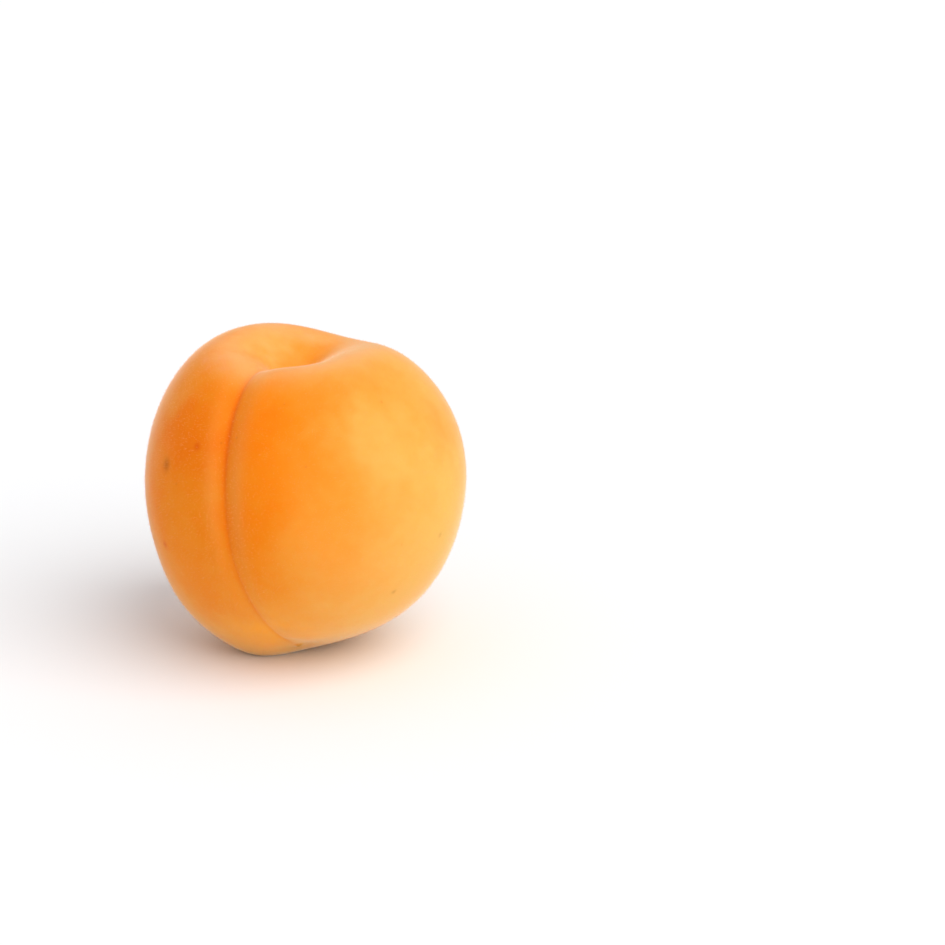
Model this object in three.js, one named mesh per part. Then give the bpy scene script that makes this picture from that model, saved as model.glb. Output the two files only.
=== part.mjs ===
// An apricot as picked, without its stalk: one whole fruit, in millimetres, +Z up.
// It rests on a small flat spot, and the middle of that spot is the origin.
// On the fruit itself x points to the suture, y to the fuller cheek and z to the stalk end.
import * as THREE from "three";
import { mergeVertices } from "three/addons/utils/BufferGeometryUtils.js";

// Main measures of the fruit, before the hollows are sunk into it.
const sutureToBack = 45.21;
const cheekToCheek = 46.75;
const stalkToStyle = 52.66;
const squareness = 2.06; // 2 is an ellipsoid, more is boxier

// How the fruit departs from an even shape, each height at its fullest.
const endTaper = 1.74; // the stalk end is the broader one
const fullerCheek = 0.9;
const cheekBow = -3.12; // one cheek is fullest at the middle, the other at its ends
const sutureBow = -1.13; // the same between the suture side and the back
const bowMiddle = 0.4; // where along the fruit the bows cross zero
const chin = 0.47; // swell beside the style end, on the flatter cheek
const fullerBack = 3.4; // broad swell on the back of the flatter cheek
const backToSuture = -0.5; // which way that swell is from the middle
const backToCheek = -0.85;
const backToStalk = 0.021;
const backSpread = 0.8; // in radians, as the angle below
const styleFlat = 2.67;
const styleFlatAngle = 0.7;

// Low swells all over the skin: their height, and waves in radians for each radius.
const unevenness = 0.16;
const wavesToSuture = 4.3;
const wavesToCheek = 5.1;
const wavesAlong = 6;
const waveSlant = 3;
const waveStart = 1;
const crossWaveStart = 2;

// Where the two ends sit, as a share of the radius.
const stalkEndToSuture = 0.008;
const styleEndToSuture = 0.179;
const styleEndToCheek = 0.244;

// The bowl round the stalk, long in the direction of the suture; angles are in radians.
const bowlDepth = 8.49;
const bowlFrontLength = 0.3; // from its deepest point towards the suture
const bowlBackLength = 0.465;
const bowlBreadth = 0.302;
const bowlToSuture = 0.185; // where its deepest point is, with the stalk's pit in it
const bowlToCheek = -0.005;
const stalkPitDepth = 1.2;
const stalkPitAngle = 0.13;

// The suture: a valley where it leaves the bowl, then a rounded groove with a crease in it.
const valleyDepth = 0.4;
const valleyHalfWidth = 6.0;
const valleyAngle = 0.45; // from the stalk to the valley's middle, and its spread
const grooveDepth = 0.74;
const grooveHalfWidth = 2.1;
const creaseDepth = 0.24;
const creaseHalfWidth = 0.45;
const lowGroove = 0.55; // share of its depth that the groove keeps near the style end
const sutureBend = 0.095; // how far the suture wanders to one side, in radians
const sutureFades = -0.15; // share of the radius beyond the middle where the suture is lost
const sutureFull = 0.25;
const shallowFrom = 0.45; // as shares of the way from the stalk to the style end
const shallowBy = 0.75;
const grooveEnds = 0.93;
const styleDimple = 0.5;
const styleDimpleAngle = 0.16;

// How the fruit lies, in degrees, and where its resting spot is from the fruit's middle.
const turn = 29.13;
const lean = 5.84;
const nod = -8.03;
const restX = -2.71;
const restY = 0.455;
const restZ = -23.92;

// The chin swells a little underneath, where the fruit rests on it.
const footSwell = 1.09;
const footSpread = 6;
const footX = -5.98;
const footY = -5.74;

// The mesh: lines run from end to end, crowded towards the suture and the stalk end.
const columns = 96;
const rows = 52;
const sutureCrowding = 0.8;
const stalkCrowding = 0.22;

const middleRadius = cheekToCheek / 2;

function bump(distance, spread) {
  return Math.exp(-((distance / spread) ** 2));
}

// The evenly swelling body, without hollows, along a unit direction.
function bodyRadius(q) {
  const { x, y, z } = q;
  const n = squareness;
  const shell =
    (Math.abs(x) / (sutureToBack / 2)) ** n +
    (Math.abs(y) / (cheekToCheek / 2)) ** n +
    (Math.abs(z) / (stalkToStyle / 2)) ** n;
  const bow = (cheekBow * y + sutureBow * x) * (z * z - bowMiddle);
  const taper = endTaper * z * (1 - z * z) + fullerCheek * y;
  const back = new THREE.Vector3(backToSuture, backToCheek, backToStalk);
  const fuller = fullerBack * bump(q.angleTo(back), backSpread);
  return shell ** (-1 / n) + taper + bow + fuller - chin * y * Math.max(-z, 0) ** 3;
}

// Low swells that keep the skin from being perfectly even.
function swell(q) {
  const toSuture = Math.sin(wavesToSuture * q.x + waveStart);
  const toCheek = Math.sin(wavesToCheek * q.y + crossWaveStart);
  const along = Math.sin(wavesAlong * q.z + waveSlant * q.x);
  return unevenness * (toSuture * toCheek + along);
}

// What the bowl, the stalk's pit and the style end take off the radius.
function endHollows(polar, azimuth) {
  const along = polar * Math.cos(azimuth) - bowlToSuture;
  const across = polar * Math.sin(azimuth) - bowlToCheek;
  const bowlLength = along > 0 ? bowlFrontLength : bowlBackLength;
  const fromStyle = Math.PI - polar;
  return (
    bowlDepth * bump(along, bowlLength) * bump(across, bowlBreadth) +
    stalkPitDepth * bump(Math.hypot(along, across), stalkPitAngle) +
    styleFlat * bump(fromStyle, styleFlatAngle) +
    styleDimple * bump(fromStyle, styleDimpleAngle)
  );
}

// What the suture takes off the radius, on its own side of the fruit only.
function sutureHollow(polar, azimuth) {
  const { smoothstep, lerp } = THREE.MathUtils;
  const aside = middleRadius * Math.sin(polar) * Math.sin(azimuth);
  const front = smoothstep(Math.sin(polar) * Math.cos(azimuth), sutureFades, sutureFull);
  const lower = smoothstep(polar / Math.PI, shallowFrom, shallowBy);
  const fadeOut = 1 - smoothstep(polar / Math.PI, grooveEnds, 1);
  const valley = valleyDepth * bump(polar - valleyAngle, valleyAngle) * bump(aside, valleyHalfWidth);
  const groove = grooveDepth * bump(aside, grooveHalfWidth) + creaseDepth * bump(aside, creaseHalfWidth);
  return front * (valley + groove * fadeOut * lerp(1, lowGroove, lower));
}

// The point of the skin for a polar angle from the stalk end and an azimuth from the suture.
function skinPoint(polar, azimuth) {
  const bent = azimuth + sutureBend * (polar / (Math.PI / 2) - 1);
  const direction = new THREE.Vector3().setFromSphericalCoords(1, polar, bent);
  const toStyle = (1 - direction.y) / 2; // 0 at the stalk end, 1 at the style end
  const q = new THREE.Vector3(
    direction.z + stalkEndToSuture * (1 - toStyle) + styleEndToSuture * toStyle,
    direction.x + styleEndToCheek * toStyle,
    direction.y,
  ).normalize();
  const hollows = endHollows(polar, azimuth) + sutureHollow(polar, azimuth);
  return q.multiplyScalar(bodyRadius(q) + swell(q) - hollows);
}

// The fruit as it lies, with whatever would be below the resting spot pressed flat onto it.
function fruitGeometry() {
  const sphere = new THREE.SphereGeometry(1, columns, rows);
  sphere.deleteAttribute("normal");
  sphere.deleteAttribute("uv");
  const geometry = mergeVertices(sphere);
  const lying = new THREE.Matrix4().makeRotationFromEuler(
    new THREE.Euler(
      THREE.MathUtils.degToRad(nod),
      THREE.MathUtils.degToRad(lean),
      THREE.MathUtils.degToRad(-90 - turn),
      "XYZ",
    ),
  );
  const foot = new THREE.Vector3(footX, footY, restZ);
  const position = geometry.getAttribute("position");
  const onSphere = new THREE.Vector3();
  for (let i = 0; i < position.count; i++) {
    onSphere.fromBufferAttribute(position, i);
    const evenPolar = Math.acos(THREE.MathUtils.clamp(onSphere.y, -1, 1)) / Math.PI;
    const polar = Math.PI * evenPolar * (1 - stalkCrowding * (1 - evenPolar));
    const evenAzimuth = Math.atan2(onSphere.x, onSphere.z);
    const azimuth = evenAzimuth - sutureCrowding * Math.sin(evenAzimuth);
    const point = skinPoint(polar, azimuth).applyMatrix4(lying);
    const lowered = point.z - footSwell * bump(point.distanceTo(foot), footSpread);
    position.setXYZ(i, point.x - restX, point.y - restY, Math.max(lowered - restZ, 0));
  }
  geometry.computeVertexNormals();
  return geometry;
}

const fruit = new THREE.Mesh(
  fruitGeometry(),
  new THREE.MeshStandardMaterial({ color: 0xf7963a, roughness: 0.6, metalness: 0 }),
);
fruit.name = "apricot";

const apricot = new THREE.Group();
apricot.add(fruit);

export default apricot;
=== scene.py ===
import math

import bpy
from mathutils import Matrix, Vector


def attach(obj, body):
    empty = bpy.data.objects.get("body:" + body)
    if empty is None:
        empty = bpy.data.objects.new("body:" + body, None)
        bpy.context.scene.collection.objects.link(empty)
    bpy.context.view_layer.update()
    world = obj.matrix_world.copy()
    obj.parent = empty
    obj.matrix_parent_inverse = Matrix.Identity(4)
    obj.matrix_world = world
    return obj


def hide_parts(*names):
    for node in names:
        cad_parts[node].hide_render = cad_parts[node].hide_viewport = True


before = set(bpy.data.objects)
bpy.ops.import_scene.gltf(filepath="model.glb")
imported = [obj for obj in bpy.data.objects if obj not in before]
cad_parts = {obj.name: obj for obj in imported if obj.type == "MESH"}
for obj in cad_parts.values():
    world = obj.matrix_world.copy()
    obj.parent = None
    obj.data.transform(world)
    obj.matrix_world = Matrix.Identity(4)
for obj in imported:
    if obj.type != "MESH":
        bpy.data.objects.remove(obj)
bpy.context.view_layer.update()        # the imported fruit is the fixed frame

mm = 0.001
print("frame loaded:", list(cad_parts))


def addNode(tree, kind, inputs=(), output=0, **settings):
    # adds a node with its settings and links, and gives one output. A kind in capitals is one of
    # the Math node's operations, and a sum or product of many values becomes a row of them.
    if kind.isupper():
        if len(inputs) > 2 and kind in ("ADD", "MULTIPLY"):
            inputs = (addNode(tree, kind, inputs[:-1]), inputs[-1])
        kind, settings["operation"] = "ShaderNodeMath", kind
    node = tree.nodes.new(kind)
    for name, value in settings.items():
        setattr(node, name, value)
    filled = inputs.items() if isinstance(inputs, dict) else enumerate(inputs)
    for slot, value in filled:
        if isinstance(value, bpy.types.NodeSocket):
            tree.links.new(value, node.inputs[slot])
        else:
            node.inputs[slot].default_value = value
    return node.outputs[output] if node.outputs else node


def bell(tree, distance, spread):
    # 1 at no distance, falling smoothly to nothing past twice the spread
    share = addNode(tree, "DIVIDE", (distance, spread))
    return addNode(tree, "EXPONENT", (addNode(tree, "MULTIPLY", (share, share, -1.0)),))


def toLinear(hexColour, alpha=1.0):
    # sRGB hex to the linear values that Blender's sockets take
    shares = [int(hexColour[i:i + 2], 16) / 255 for i in (1, 3, 5)]
    linear = [s / 12.92 if s <= 0.04045 else ((s + 0.055) / 1.055) ** 2.4 for s in shares]
    return (*linear, alpha)


def meshFromTree(name, tree, values, source=None):
    # runs the tree on a mesh, or on nothing, with its inputs set by identifier, and keeps the result
    mesh = source.data.copy() if source else bpy.data.meshes.new(name + "Carrier")
    carrier = bpy.data.objects.new(name + "Carrier", mesh)
    bpy.context.scene.collection.objects.link(carrier)
    modifier = carrier.modifiers.new(name, "NODES")
    modifier.node_group = tree
    for socket in tree.interface.items_tree:
        if socket.item_type == "SOCKET" and socket.in_out == "INPUT" and socket.name in values:
            modifier[socket.identifier] = values[socket.name]
    view = bpy.context.evaluated_depsgraph_get()
    mesh = bpy.data.meshes.new_from_object(carrier.evaluated_get(view), preserve_all_data_layers=True, depsgraph=view)
    mesh.name = name
    piece = bpy.data.objects.new(name, mesh)
    bpy.context.scene.collection.objects.link(piece)
    carrier.modifiers.remove(modifier)
    bpy.data.objects.remove(carrier)
    return piece


# the fruit's own measures, in millimetres and radians: x to the suture, y to the fuller cheek,
# z to the stalk end. The skin tree has an input for each.
fruit = {
    "sutureToBack": 45.21, "cheekToCheek": 46.75, "stalkToStyle": 52.66, "squareness": 2.06,
    "endTaper": 1.74, "fullerCheek": 0.9, "cheekBow": -3.12, "sutureBow": -1.13, "bowMiddle": 0.4,
    "chin": 0.47, "fullerBack": 3.4, "backSpread": 0.8,
    "styleFlat": 2.67, "styleFlatAngle": 0.7,
    "unevenness": 0.16, "wavesToSuture": 4.3, "wavesToCheek": 5.1, "wavesAlong": 6.0, "waveSlant": 3.0,
    "waveStart": 1.0, "crossWaveStart": 2.0,
    "stalkEndToSuture": 0.008, "styleEndToSuture": 0.179, "styleEndToCheek": 0.244,
    "bowlDepth": 8.49, "bowlFrontLength": 0.3, "bowlBackLength": 0.465, "bowlBreadth": 0.302,
    "bowlToSuture": 0.185, "bowlToCheek": -0.005, "stalkPitDepth": 1.2, "stalkPitAngle": 0.13,
    "valleyDepth": 0.4, "valleyHalfWidth": 6.0, "valleyAngle": 0.45,
    "grooveDepth": 0.74, "grooveHalfWidth": 2.1, "creaseDepth": 0.15, "creaseHalfWidth": 0.45,
    "lowGroove": 0.55, "sutureBend": 0.095, "sutureFades": -0.15, "sutureFull": 0.25,
    "shallowFrom": 0.45, "shallowBy": 0.75, "grooveEnds": 0.93, "styleDimple": 0.5, "styleDimpleAngle": 0.16,
    "footSwell": 1.09, "footSpread": 6.0,
    # the stalk's scar and the dried style, too small for the solid
    "scarRim": 0.22, "scarRimAngle": 0.1, "scarRimWidth": 0.022, "styleNib": 0.35, "styleNibAngle": 0.022,
    "sutureCrowding": 0.6,
}

# how it lies, in degrees, and where its resting spot is from its middle, in millimetres
lying = {
    "turn": 29.13, "lean": 5.84, "nod": -8.03,
    "rest": Vector((-2.71, 0.455, -23.92)), "foot": Vector((-5.98, -5.74, -23.92)),
    "back": Vector((-0.5, -0.85, 0.021)).normalized(),  # the way to the fuller back, on the fruit itself
}
meshLines = {"columns": 340, "rows": 260}


def bodyRadius(tree, size, direction):
    # an ellipsoid made a little boxier
    x, y, z = addNode(tree, "ShaderNodeSeparateXYZ", (direction,)).node.outputs
    shells = []
    for part, width in ((x, "sutureToBack"), (y, "cheekToCheek"), (z, "stalkToStyle")):
        share = addNode(tree, "DIVIDE", (part, size[width]))
        doubled = addNode(tree, "ABSOLUTE", (addNode(tree, "MULTIPLY", (share, 2.0)),))
        shells.append(addNode(tree, "POWER", (doubled, size["squareness"])))
    inverse = addNode(tree, "DIVIDE", (-1.0, size["squareness"]))
    shell = addNode(tree, "POWER", (addNode(tree, "ADD", shells), inverse))
    # the stalk end is broader, one cheek is fuller, and the sides bow
    zSquared = addNode(tree, "MULTIPLY", (z, z))
    taper = addNode(tree, "MULTIPLY", (size["endTaper"], z, addNode(tree, "SUBTRACT", (1.0, zSquared))))
    fuller = addNode(tree, "MULTIPLY", (size["fullerCheek"], y))
    bows = addNode(tree, "MULTIPLY_ADD", (size["sutureBow"], x, addNode(tree, "MULTIPLY", (size["cheekBow"], y))))
    bow = addNode(tree, "MULTIPLY", (bows, addNode(tree, "SUBTRACT", (zSquared, size["bowMiddle"]))))
    # the chin beside the style end
    below = addNode(tree, "MINIMUM", (z, 0.0))
    chin = addNode(tree, "MULTIPLY", (size["chin"], y, below, below, below))
    # the broad swell on the back
    share = addNode(tree, "ShaderNodeVectorMath", (direction, lying["back"]), output="Value", operation="DOT_PRODUCT")
    fromBack = addNode(tree, "ARCCOSINE", (share,))
    back = addNode(tree, "MULTIPLY", (size["fullerBack"], bell(tree, fromBack, size["backSpread"])))
    # low swells all over
    phaseX = addNode(tree, "MULTIPLY_ADD", (x, size["wavesToSuture"], size["waveStart"]))
    phaseY = addNode(tree, "MULTIPLY_ADD", (y, size["wavesToCheek"], size["crossWaveStart"]))
    slant = addNode(tree, "MULTIPLY", (x, size["waveSlant"]))
    phaseZ = addNode(tree, "MULTIPLY_ADD", (z, size["wavesAlong"], slant))
    waveX, waveY, waveZ = [addNode(tree, "SINE", (phase,)) for phase in (phaseX, phaseY, phaseZ)]
    swell = addNode(tree, "MULTIPLY", (size["unevenness"], addNode(tree, "MULTIPLY_ADD", (waveX, waveY, waveZ))))
    return addNode(tree, "ADD", (shell, taper, fuller, bow, chin, back, swell))


def endHollows(tree, size, fromStyle, along, across):
    # the bowl with the stalk's pit, and the flattened style end
    frontShare = addNode(tree, "GREATER_THAN", (along, 0.0))
    length = addNode(tree, "ShaderNodeMix", {0: frontShare, 2: size["bowlBackLength"], 3: size["bowlFrontLength"]})
    bowl = addNode(tree, "MULTIPLY", (
        size["bowlDepth"], bell(tree, along, length), bell(tree, across, size["bowlBreadth"]),
    ))
    stalkWay = addNode(tree, "ShaderNodeCombineXYZ", (along, across))
    fromStalk = addNode(tree, "ShaderNodeVectorMath", (stalkWay,), output="Value", operation="LENGTH")
    pit = addNode(tree, "MULTIPLY", (size["stalkPitDepth"], bell(tree, fromStalk, size["stalkPitAngle"])))
    flat = addNode(tree, "MULTIPLY", (size["styleFlat"], bell(tree, fromStyle, size["styleFlatAngle"])))
    dimple = addNode(tree, "MULTIPLY", (size["styleDimple"], bell(tree, fromStyle, size["styleDimpleAngle"])))
    # the raised rim of the stalk's scar, and the dried nib that the style left
    fromRim = addNode(tree, "SUBTRACT", (fromStalk, size["scarRimAngle"]))
    rim = addNode(tree, "MULTIPLY", (size["scarRim"], bell(tree, fromRim, size["scarRimWidth"]), -1.0))
    nib = addNode(tree, "MULTIPLY", (size["styleNib"], bell(tree, fromStyle, size["styleNibAngle"]), -1.0))
    return addNode(tree, "ADD", (bowl, pit, flat, dimple, rim, nib)), fromStalk


def sutureHollow(tree, size, polar, way, aside, front):
    # a valley where the suture leaves the bowl, then a rounded groove with a crease in it
    fromValley = addNode(tree, "SUBTRACT", (polar, size["valleyAngle"]))
    valley = addNode(tree, "MULTIPLY", (
        size["valleyDepth"], bell(tree, fromValley, size["valleyAngle"]), bell(tree, aside, size["valleyHalfWidth"]),
    ))
    groove = addNode(tree, "MULTIPLY", (size["grooveDepth"], bell(tree, aside, size["grooveHalfWidth"])))
    crease = bell(tree, aside, size["creaseHalfWidth"])
    groove = addNode(tree, "MULTIPLY_ADD", (size["creaseDepth"], crease, groove))
    lower = addNode(tree, "ShaderNodeMapRange", (way, size["shallowFrom"], size["shallowBy"]),
                    interpolation_type="SMOOTHSTEP")
    kept = addNode(tree, "ShaderNodeMix", {0: lower, 2: 1.0, 3: size["lowGroove"]})
    fadeOut = addNode(tree, "ShaderNodeMapRange", (way, size["grooveEnds"], 1.0, 1.0, 0.0),
                      interpolation_type="SMOOTHSTEP")
    keptGroove = addNode(tree, "MULTIPLY", (groove, fadeOut, kept))
    return addNode(tree, "MULTIPLY", (front, addNode(tree, "ADD", (valley, keptGroove))))


def skinTree():
    tree = bpy.data.node_groups.new("apricotSkin", "GeometryNodeTree")
    for name in meshLines:
        tree.interface.new_socket(name=name, in_out="INPUT", socket_type="NodeSocketInt")
    for name in fruit:
        tree.interface.new_socket(name=name, in_out="INPUT", socket_type="NodeSocketFloat")
    tree.interface.new_socket(name="material", in_out="INPUT", socket_type="NodeSocketMaterial")
    tree.interface.new_socket(name="skin", in_out="OUTPUT", socket_type="NodeSocketGeometry")
    size = addNode(tree, "NodeGroupInput").node.outputs

    # a sphere whose lines run from end to end, crowded towards the suture
    sphere = addNode(tree, "GeometryNodeMeshUVSphere", (size["columns"], size["rows"], 1.0))
    x, y, z = addNode(tree, "ShaderNodeSeparateXYZ", (addNode(tree, "GeometryNodeInputPosition"),)).node.outputs
    polar = addNode(tree, "ARCCOSINE", (z,))
    way = addNode(tree, "DIVIDE", (polar, math.pi))  # share of the way from the stalk end to the style end
    even = addNode(tree, "ARCTAN2", (y, x))
    pulled = addNode(tree, "MULTIPLY", (size["sutureCrowding"], addNode(tree, "SINE", (even,))))
    azimuth = addNode(tree, "SUBTRACT", (even, pulled))

    # the direction from the middle, with the suture bent and the two ends off centre
    fromEquator = addNode(tree, "MULTIPLY_ADD", (way, 2.0, -1.0))
    bent = addNode(tree, "MULTIPLY_ADD", (size["sutureBend"], fromEquator, azimuth))
    ringRadius = addNode(tree, "SINE", (polar,))
    toStyle = addNode(tree, "MULTIPLY_ADD", (z, -0.5, 0.5))
    toStalk = addNode(tree, "SUBTRACT", (1.0, toStyle))
    sutureWay = addNode(tree, "ADD", (
        addNode(tree, "MULTIPLY", (ringRadius, addNode(tree, "COSINE", (bent,)))),
        addNode(tree, "MULTIPLY", (size["stalkEndToSuture"], toStalk)),
        addNode(tree, "MULTIPLY", (size["styleEndToSuture"], toStyle)),
    ))
    toCheek = addNode(tree, "MULTIPLY", (ringRadius, addNode(tree, "SINE", (bent,))))
    cheekWay = addNode(tree, "MULTIPLY_ADD", (size["styleEndToCheek"], toStyle, toCheek))
    direction = addNode(tree, "ShaderNodeCombineXYZ", (sutureWay, cheekWay, z))
    direction = addNode(tree, "ShaderNodeVectorMath", (direction,), operation="NORMALIZE")

    # the radius that way, less the hollows
    cosAzimuth = addNode(tree, "COSINE", (azimuth,))
    sinAzimuth = addNode(tree, "SINE", (azimuth,))
    aside = addNode(tree, "MULTIPLY", (size["cheekToCheek"], 0.5, ringRadius, sinAzimuth))
    facing = addNode(tree, "MULTIPLY", (ringRadius, cosAzimuth))
    front = addNode(tree, "ShaderNodeMapRange", (facing, size["sutureFades"], size["sutureFull"]),
                    interpolation_type="SMOOTHSTEP")
    along = addNode(tree, "SUBTRACT", (addNode(tree, "MULTIPLY", (polar, cosAzimuth)), size["bowlToSuture"]))
    across = addNode(tree, "SUBTRACT", (addNode(tree, "MULTIPLY", (polar, sinAzimuth)), size["bowlToCheek"]))
    fromStyle = addNode(tree, "SUBTRACT", (math.pi, polar))
    ends, fromStalk = endHollows(tree, size, fromStyle, along, across)
    suture = sutureHollow(tree, size, polar, way, aside, front)
    body = bodyRadius(tree, size, direction)
    radius = addNode(tree, "SUBTRACT", (body, addNode(tree, "ADD", (ends, suture))))
    point = addNode(tree, "ShaderNodeVectorMath", {0: direction, "Scale": radius}, operation="SCALE")

    # laid down, swollen a little beside its lowest point, and pressed flat where it rests
    for axis, angle in (("Z_AXIS", -90 - lying["turn"]), ("Y_AXIS", lying["lean"]), ("X_AXIS", lying["nod"])):
        point = addNode(
            tree, "ShaderNodeVectorRotate", {"Vector": point, "Angle": math.radians(angle)}, rotation_type=axis,
        )
    fromFoot = addNode(tree, "ShaderNodeVectorMath", (point, lying["foot"]), output="Value", operation="DISTANCE")
    swollen = addNode(tree, "MULTIPLY", (size["footSwell"], bell(tree, fromFoot, size["footSpread"])))
    point = addNode(tree, "ShaderNodeVectorMath", (point, lying["rest"]), operation="SUBTRACT")
    x, y, z = addNode(tree, "ShaderNodeSeparateXYZ", (point,)).node.outputs
    height = addNode(tree, "MAXIMUM", (addNode(tree, "SUBTRACT", (z, swollen)), 0.0))
    point = addNode(tree, "ShaderNodeCombineXYZ", (x, y, height))
    point = addNode(tree, "ShaderNodeVectorMath", {0: point, "Scale": mm}, operation="SCALE")

    # what the finish follows is kept on the mesh before it is shaped
    skin = sphere
    kept = {"fromStalk": fromStalk, "fromStyle": fromStyle, "fromSuture": aside, "sutureSide": front, "way": way}
    for name, value in kept.items():
        skin = addNode(
            tree, "GeometryNodeStoreNamedAttribute", {"Geometry": skin, "Name": name, "Value": value},
            data_type="FLOAT", domain="POINT",
        )
    skin = addNode(
        tree, "GeometryNodeStoreNamedAttribute",
        {"Geometry": skin, "Name": "OFBake", "Value": sphere.node.outputs["UV Map"]},
        data_type="FLOAT2", domain="CORNER",
    )
    skin = addNode(tree, "GeometryNodeSetPosition", {"Geometry": skin, "Position": point})
    skin = addNode(tree, "GeometryNodeSetShadeSmooth", {"Geometry": skin, "Shade Smooth": True})
    skin = addNode(tree, "GeometryNodeRealizeInstances", (skin,))
    skin = addNode(tree, "GeometryNodeSetMaterial", {"Geometry": skin, "Material": size["material"]})
    addNode(tree, "NodeGroupOutput", (skin,))
    return tree


# ripe apricot skin: velvety, so hazy at the edges, over flesh that lets some light in
skinLook = {
    "deep": "#F07600", "even": "#EE8617", "middle": "#EE9531", "pale": "#EEB15A",
    "evenStop": 0.23, "middleStop": 0.46,  # of the way from deep to pale
    "halfSize": 24.0,  # what the shares below to each side and downwards are of, in millimetres
    # the right and down shares are partly painted light: the lamp's light on the right, and light bounced up from the
    # table underneath
    "base": 0.4, "right": 0.44, "down": 0.37, "sides": 0.25, "ends": 0.31, "lowRight": 0.07,
    "stalkEnd": 0.38, "besideSuture": 0.1,
    # the two sizes of unevenness in millimetres, and how strong each is
    "broad": 8.0, "broadShare": 0.36, "mottle": 1.7, "mottleShare": 0.17,
    # over what distance and how far the patches' edges wander, in millimetres
    "drift": 5.0, "driftBy": 12.0,
    # specks this far apart in millimetres and this share of that wide, of which this share is hidden
    "lenticelSpacing": 3.2, "lenticelShare": 0.055, "lenticelHidden": 0.66, "lenticelStrength": 0.45,
    # relief in millimetres: the pores are drawn coarser than real, so that they show
    "pore": 0.45, "dimple": 3.5, "dimpleShare": 3.0, "reliefDepth": 0.06,
}
tints = {
    # the suture's tint is partly its own redder skin and partly painted shade in the crease; the banks' and the lip's
    # tints are painted sheen, a paler haze where the skin turns away
    "suture": "#E2560C", "paintedBankSheen": "#EA9C50", "lip": "#F6BE8A",
    "scar": "#7A4A1E", "nib": "#5E3A1C", "lenticel": "#C8641C",
}

# where each tint gathers: distances from the suture in millimetres, angles from the stalk and the
# style in radians, places and spreads as shares of the way between them, and how strong each tint is
gathering = {
    "creaseWidth": 0.6, "creaseShare": 0.22, "upperShare": 0.35, "upperMiddle": 0.33, "upperSpread": 0.11,
    "bankPlace": 2.4, "bankWidth": 1.4, "bankShare": 0.3, "bankMiddle": 0.46, "bankSpread": 0.2,
    "besidePlace": 5.0, "besideWidth": 4.5, "stalkEndAngle": 0.5,
    "scarAngle": 0.075, "scarShare": 0.9, "nibAngle": 0.022, "nibShare": 0.35,
    "lipAngle": 0.42, "lipWidth": 0.12, "lipShare": 0.65,
}

# where this fruit's colour is uneven, and where light is painted on as marked below: the middle of each patch and how
# broad it is, in millimetres, its colour and how strong it is
patches = (
    # paler high on the right cheek, partly a painted soft highlight, and along its edge
    ((13.1, -19.1, 38.2), 5.0, "#F0B45E", 0.45),
    ((19.0, -18.4, 33.4), 4.5, "#F0B45E", 0.4),
    ((26.4, -9.5, 22.0), 8.0, "#DAB458", 0.5),
    # deeper orange below the lip of the bowl, on the shoulder and deep in the bowl
    ((8.1, -16.0, 43.4), 4.5, "#F07A08", 0.3),
    ((15.0, -10.0, 44.2), 4.0, "#F07A08", 0.25),
    ((24.9, -8.3, 35.1), 5.0, "#EE882A", 0.45),
    ((6.0, 4.3, 43.9), 4.5, "#F08C14", 0.6),
    # painted sheen: paler on the bowl's far rim; deeper beside it
    ((-0.9, 2.6, 45.2), 3.8, "#F2BC74", 0.4),
    ((-8.0, -3.6, 46.2), 3.0, "#F08412", 0.4),
    # the left cheek is deepest high up and near its foot, and paler at its edge, which is painted sheen on the
    # turned-away skin
    ((-11.3, -14.2, 36.8), 5.0, "#EE6E00", 0.5),
    ((-9.2, -15.6, 14.5), 6.0, "#EE7C04", 0.55),
    ((-18.2, -5.3, 31.9), 5.5, "#F0A04A", 0.38),
    ((-14.6, -5.2, 40.2), 4.5, "#F0A44E", 0.38),
    # painted light: the chin's underside is brighter, standing in for light bounced up from the table
    ((-0.5, -14.0, 5.5), 5.0, "#FFA62C", 0.6),
    # a painted sheen highlight on the ridge of the left shoulder, beside the bowl
    ((-9.7, -5.6, 45.0), 1.5, "#EE9A66", 0.35),
    ((-6.2, -7.0, 45.5), 1.5, "#EE9A66", 0.35),
    # the back, with two redder patches and a paler one
    ((19.0, 13.8, 37.6), 6.0, "#EE7A10", 0.4),
    ((-10.7, 20.1, 23.5), 8.0, "#EE740A", 0.4),
    ((7.0, 20.8, 16.2), 6.0, "#F0B05C", 0.4),
)

# brown freckles, a few to each side, in the same terms
freckles = (
    ((-15.1, -12.4, 31.9), 0.9, "#A64E08", 0.55),
    ((-10.2, -16.0, 35.8), 0.6, "#DC4604", 0.5),
    ((-15.7, -12.5, 19.8), 0.6, "#D8480A", 0.55),
    ((17.6, -17.2, 14.2), 0.4, "#B8702A", 0.4),
    ((24.2, -13.8, 21.7), 0.4, "#B8702A", 0.35),
    ((12.3, 20.8, 30.1), 0.5, "#A6521A", 0.6),
    ((-3.2, 22.7, 34.5), 0.4, "#C4561A", 0.5),
    ((-17.6, 10.5, 30.7), 0.45, "#B0501A", 0.5),
    ((-14.8, 15.6, 21.7), 0.35, "#C4561A", 0.5),
    ((20.5, 14.5, 21.9), 0.5, "#B4601E", 0.5),
    ((6.4, 22.2, 20.6), 0.35, "#B8702A", 0.4),
)


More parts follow.
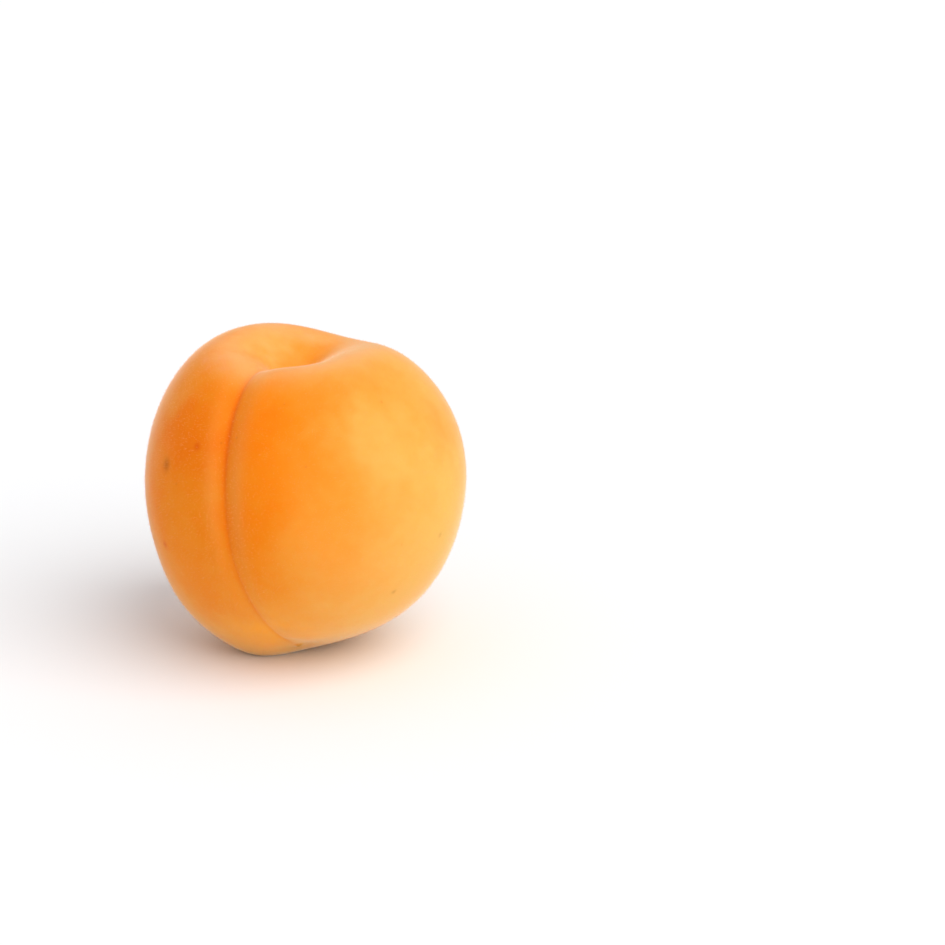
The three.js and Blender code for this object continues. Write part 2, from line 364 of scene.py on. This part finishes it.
def skinMaterial():
    material = bpy.data.materials.new("downyApricotSkin")
    material.use_nodes = True
    tree = material.node_tree
    tree.nodes.clear()
    place = addNode(tree, "ShaderNodeTexCoord", output="Object")
    kept = {}
    for name in ("fromStalk", "fromStyle", "fromSuture", "sutureSide", "way"):
        kept[name] = addNode(tree, "ShaderNodeAttribute", output="Fac", attribute_name=name)

    # paler and yellower towards the right, the underside and both ends, in uneven patches; the paleness to the right
    # and below is partly the skin's own colour and partly painted light: the lamp's light on the right, and light
    # bounced up from the table
    scale = 1 / (skinLook["halfSize"] * mm)
    fromMiddle = lying["rest"] / skinLook["halfSize"]
    centred = addNode(tree, "ShaderNodeMapping", {"Vector": place, "Location": fromMiddle, "Scale": (scale,) * 3})
    x, y, z = addNode(tree, "ShaderNodeSeparateXYZ", (centred,)).node.outputs
    broad = addNode(tree, "ShaderNodeTexNoise", {"Vector": place, "Scale": 1 / (skinLook["broad"] * mm), "Detail": 3.0})
    mottle = addNode(tree, "ShaderNodeTexNoise", {
        "Vector": place, "Scale": 1 / (skinLook["mottle"] * mm), "Detail": 2.0,
    })
    beside = addNode(tree, "SUBTRACT", (kept["fromSuture"], gathering["besidePlace"]))
    nearSuture = bell(tree, beside, gathering["besideWidth"])
    nearStalk = bell(tree, kept["fromStalk"], gathering["stalkEndAngle"])
    paleness = addNode(tree, "ADD", (
        skinLook["base"] - 0.5 * (skinLook["broadShare"] + skinLook["mottleShare"]),
        addNode(tree, "MULTIPLY", (x, skinLook["right"])),
        addNode(tree, "MULTIPLY", (z, -skinLook["down"])),
        addNode(tree, "MULTIPLY", (x, x, skinLook["sides"])),
        addNode(tree, "MULTIPLY", (z, z, skinLook["ends"])),
        addNode(tree, "MULTIPLY", (x, z, -skinLook["lowRight"])),
        addNode(tree, "MULTIPLY", (nearStalk, skinLook["stalkEnd"])),
        addNode(tree, "MULTIPLY", (nearSuture, kept["sutureSide"], -skinLook["besideSuture"])),
        addNode(tree, "MULTIPLY", (broad, skinLook["broadShare"])),
        addNode(tree, "MULTIPLY", (mottle, skinLook["mottleShare"])),
    ))
    colour = addNode(tree, "ShaderNodeValToRGB", (paleness,))
    stops = colour.node.color_ramp.elements
    stops[0].color = toLinear(skinLook["deep"])
    stops[1].color = toLinear(skinLook["pale"])
    stops.new(skinLook["evenStop"]).color = toLinear(skinLook["even"])
    stops.new(skinLook["middleStop"]).color = toLinear(skinLook["middle"])

    # redder and darker in the crease, most over the upper part of its way: partly the suture's own redder skin, partly
    # painted shade in the crease; brown on the scars; and paler on the groove's banks and on the lip of the bowl, which
    # is painted sheen
    fromLip = addNode(tree, "SUBTRACT", (kept["fromStalk"], gathering["lipAngle"]))
    paintedLipHighlightMask = bell(tree, fromLip, gathering["lipWidth"])
    fromUpper = addNode(tree, "SUBTRACT", (kept["way"], gathering["upperMiddle"]))
    upper = bell(tree, fromUpper, gathering["upperSpread"])
    fromBank = addNode(tree, "SUBTRACT", (addNode(tree, "ABSOLUTE", (kept["fromSuture"],)), gathering["bankPlace"]))
    paintedBankSheenMask = bell(tree, fromBank, gathering["bankWidth"])
    fromHalfway = addNode(tree, "SUBTRACT", (kept["way"], gathering["bankMiddle"]))
    halfway = bell(tree, fromHalfway, gathering["bankSpread"])
    inCrease = bell(tree, kept["fromSuture"], gathering["creaseWidth"])
    creaseRedAndPaintedShade = addNode(tree, "MULTIPLY_ADD", (upper, gathering["upperShare"], gathering["creaseShare"]))
    onScar = bell(tree, kept["fromStalk"], gathering["scarAngle"])
    onNib = bell(tree, kept["fromStyle"], gathering["nibAngle"])
    layers = [
        (addNode(tree, "MULTIPLY", (inCrease, kept["sutureSide"], creaseRedAndPaintedShade)), tints["suture"]),
        # painted sheen: a paler haze along the groove's banks
        (addNode(tree, "MULTIPLY", (paintedBankSheenMask, kept["sutureSide"], halfway, gathering["bankShare"])), tints["paintedBankSheen"]),
        (addNode(tree, "MULTIPLY", (onScar, gathering["scarShare"])), tints["scar"]),
        (addNode(tree, "MULTIPLY", (onNib, gathering["nibShare"])), tints["nib"]),
        # painted sheen highlight: a pale haze along the lip of the bowl
        (addNode(tree, "MULTIPLY", (paintedLipHighlightMask, broad, gathering["lipShare"])), tints["lip"]),
    ]
    # the patches' edges wander, and the freckles are round
    drift = addNode(tree, "ShaderNodeTexNoise", {
        "Vector": place, "Scale": 1 / (skinLook["drift"] * mm), "Detail": 2.0,
    }, output="Color")
    drift = addNode(tree, "ShaderNodeVectorMath", (drift, (0.5, 0.5, 0.5)), operation="SUBTRACT")
    drift = addNode(tree, "ShaderNodeVectorMath", {0: drift, "Scale": skinLook["driftBy"] * mm}, operation="SCALE")
    wandering = addNode(tree, "ShaderNodeVectorMath", (place, drift), operation="ADD")
    for spots, spotPlace in ((patches, wandering), (freckles, place)):
        for where, breadth, tint, strength in spots:
            away = addNode(tree, "ShaderNodeVectorMath", (spotPlace, Vector(where) * mm), output="Value",
                           operation="DISTANCE")
            layers.append((addNode(tree, "MULTIPLY", (bell(tree, away, breadth * mm), strength)), tint))
    # lenticels: pin-point specks, of which most are too faint to see
    cells = addNode(tree, "ShaderNodeTexVoronoi", {"Vector": place, "Scale": 1 / (skinLook["lenticelSpacing"] * mm)})
    lot = addNode(tree, "ShaderNodeSeparateColor", (cells.node.outputs["Color"],))
    speck = bell(tree, cells, skinLook["lenticelShare"])
    drawn = addNode(tree, "GREATER_THAN", (lot, skinLook["lenticelHidden"]))
    shown = addNode(tree, "MULTIPLY", (speck, drawn, skinLook["lenticelStrength"]))
    layers.append((shown, tints["lenticel"]))
    for amount, tint in layers:
        colour = addNode(tree, "ShaderNodeMix", {0: amount, 6: colour, 7: toLinear(tint)}, output=2, data_type="RGBA")

    # pores, and dimples too shallow to see face on
    pores = addNode(tree, "ShaderNodeTexNoise", {"Vector": place, "Scale": 1 / (skinLook["pore"] * mm), "Detail": 2.0})
    dimples = addNode(tree, "ShaderNodeTexNoise", {"Vector": place, "Scale": 1 / (skinLook["dimple"] * mm)})
    relief = addNode(tree, "MULTIPLY_ADD", (dimples, skinLook["dimpleShare"], pores))
    bump = addNode(tree, "ShaderNodeBump", {
        "Strength": 0.3, "Distance": skinLook["reliefDepth"] * mm, "Height": relief,
    })
    # the down scatters the gloss: no sharp highlight, and a haze where the skin turns away
    shader = addNode(tree, "ShaderNodeBsdfPrincipled", {
        "Base Color": colour, "Roughness": 0.6, "IOR": 1.4, "Specular IOR Level": 0.04,
        "Subsurface Weight": 0.3, "Subsurface Radius": (1.0, 0.45, 0.12), "Subsurface Scale": 2 * mm,
        "Sheen Weight": 1.0, "Sheen Roughness": 0.27, "Sheen Tint": toLinear("#FFEBD2"), "Normal": bump,
    })
    addNode(tree, "ShaderNodeOutputMaterial", (shader,))
    return material


skin = meshFromTree("apricot_skin", skinTree(), {**meshLines, **fruit, "material": skinMaterial()})
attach(skin, "root")
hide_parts("apricot")
print("skin made:", len(skin.data.polygons), "faces")

# the down: short pale hairs all over, but for where the fruit is pressed on the table
down = {
    "perSquareMetre": 6.3e6, "length": 0.28 * mm, "shortest": 0.6, "longest": 1.3, "rootRadius": 0.01 * mm,
    "untidiness": 0.75, "clearBelow": 0.6 * mm, "seed": 7,
}
downColour = "#FCB878"


def downTree():
    tree = bpy.data.node_groups.new("apricotDown", "GeometryNodeTree")
    tree.interface.new_socket(name="skin", in_out="INPUT", socket_type="NodeSocketGeometry")
    for name in down:
        kind = "NodeSocketInt" if name == "seed" else "NodeSocketFloat"
        tree.interface.new_socket(name=name, in_out="INPUT", socket_type=kind)
    tree.interface.new_socket(name="material", in_out="INPUT", socket_type="NodeSocketMaterial")
    tree.interface.new_socket(name="down", in_out="OUTPUT", socket_type="NodeSocketGeometry")
    size = addNode(tree, "NodeGroupInput").node.outputs

    height = addNode(tree, "ShaderNodeSeparateXYZ", (addNode(tree, "GeometryNodeInputPosition"),), output="Z")
    clear = addNode(tree, "GREATER_THAN", (height, size["clearBelow"]))
    roots = addNode(tree, "GeometryNodeDistributePointsOnFaces", {
        "Mesh": size["skin"], "Selection": clear, "Density": size["perSquareMetre"], "Seed": size["seed"],
    })
    # each leans its own way and has its own length
    stray = addNode(tree, "FunctionNodeRandomValue", {0: (-1, -1, -1), 1: (1, 1, 1), "Seed": size["seed"]},
                    data_type="FLOAT_VECTOR")
    stray = addNode(tree, "ShaderNodeVectorMath", {0: stray, "Scale": size["untidiness"]}, operation="SCALE")
    way = addNode(tree, "ShaderNodeVectorMath", (roots.node.outputs["Normal"], stray), operation="ADD")
    upright = addNode(tree, "FunctionNodeAlignRotationToVector", {"Vector": way}, axis="Z")
    share = addNode(tree, "FunctionNodeRandomValue", {
        2: size["shortest"], 3: size["longest"], "Seed": size["seed"],
    }, output=1)
    # a closed spike of four faces, narrowing to a point
    hair = addNode(tree, "GeometryNodeMeshCone", {
        "Vertices": 3, "Radius Top": 0.0, "Radius Bottom": size["rootRadius"], "Depth": size["length"],
    }, fill_type="NGON")
    hairs = addNode(tree, "GeometryNodeInstanceOnPoints", {
        "Points": roots, "Instance": hair, "Rotation": upright, "Scale": share,
    })
    made = addNode(tree, "GeometryNodeRealizeInstances", (hairs,))
    made = addNode(tree, "GeometryNodeSetMaterial", {"Geometry": made, "Material": size["material"]})
    addNode(tree, "NodeGroupOutput", (made,))
    return tree


def downMaterial():
    # plant hair: colourless and thin, so it only pales what is seen through it
    material = bpy.data.materials.new("plantDown")
    material.use_nodes = True
    shader = material.node_tree.nodes["Principled BSDF"]
    shader.inputs["Base Color"].default_value = toLinear(downColour)
    shader.inputs["Roughness"].default_value = 0.7
    shader.inputs["IOR"].default_value = 1.5
    shader.inputs["Specular IOR Level"].default_value = 0.1
    return material


fuzz = meshFromTree("apricot_down", downTree(), {**down, "material": downMaterial()}, source=skin)
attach(fuzz, "root")
print("down made:", len(fuzz.data.polygons), "faces")

# a white table with nothing behind it
card = {"colour": "#F4F6F9", "halfSize": 3.0}


def makeFloor():
    half = card["halfSize"]
    mesh = bpy.data.meshes.new("floor")
    mesh.from_pydata([(-half, -half, 0), (half, -half, 0), (half, half, 0), (-half, half, 0)], [], [(0, 1, 2, 3)])
    floor = bpy.data.objects.new("floor", mesh)
    bpy.context.scene.collection.objects.link(floor)
    floor.location.z = -0.02 * mm  # just under the resting spot
    paper = bpy.data.materials.new("whiteCard")
    paper.use_nodes = True
    shader = paper.node_tree.nodes["Principled BSDF"]
    shader.inputs["Base Color"].default_value = toLinear(card["colour"])
    shader.inputs["Roughness"].default_value = 0.9
    mesh.materials.append(paper)


makeFloor()

# a white room, and one broad soft lamp from the front right; angles in degrees
studio = {"surround": 0.64, "azimuth": 48.0, "elevation": 46.0, "breadth": 60.0, "strength": 2.16, "colour": "#FFFCF8"}


def makeLights():
    world = bpy.data.worlds.new("studio")
    world.use_nodes = True
    backdrop = world.node_tree.nodes["Background"]
    backdrop.inputs["Color"].default_value = toLinear("#FFFFFF")
    backdrop.inputs["Strength"].default_value = studio["surround"]
    bpy.context.scene.world = world
    lamp = bpy.data.lights.new("key", "SUN")
    lamp.angle = math.radians(studio["breadth"])
    lamp.energy = studio["strength"]
    lamp.color = toLinear(studio["colour"])[:3]
    key = bpy.data.objects.new("key", lamp)
    bpy.context.scene.collection.objects.link(key)
    turn, rise = math.radians(studio["azimuth"]), math.radians(studio["elevation"])
    away = Vector((math.sin(turn) * math.cos(rise), -math.cos(turn) * math.cos(rise), math.sin(rise)))
    key.rotation_euler = away.to_track_quat("Z", "Y").to_euler()


makeLights()

# a long lens a little above the fruit; the fruit's middle lands on this pixel of the square picture
camera = {"lens": 100.0, "sensor": 36.0, "elevation": 18.0, "distance": 0.391, "picture": 945, "middle": (296.5, 491.2)}


def makeCamera():
    data = bpy.data.cameras.new("camera")
    data.lens = camera["lens"]
    data.sensor_width = camera["sensor"]
    data.clip_start = 0.01
    eye = bpy.data.objects.new("camera", data)
    bpy.context.scene.collection.objects.link(eye)
    rise = math.radians(camera["elevation"])
    forward = Vector((0, math.cos(rise), -math.sin(rise)))
    up = Vector((0, math.sin(rise), math.cos(rise)))
    perPixel = camera["distance"] * camera["sensor"] / camera["lens"] / camera["picture"]
    across = (camera["picture"] / 2 - camera["middle"][0]) * perPixel
    above = (camera["middle"][1] - camera["picture"] / 2) * perPixel
    middle = -lying["rest"] * mm
    eye.location = middle - forward * camera["distance"] + Vector((1, 0, 0)) * across + up * above
    eye.rotation_euler = (math.pi / 2 - rise, 0, 0)
    bpy.context.scene.camera = eye


makeCamera()
bpy.context.scene.view_settings.view_transform = "Standard"  # white stays white
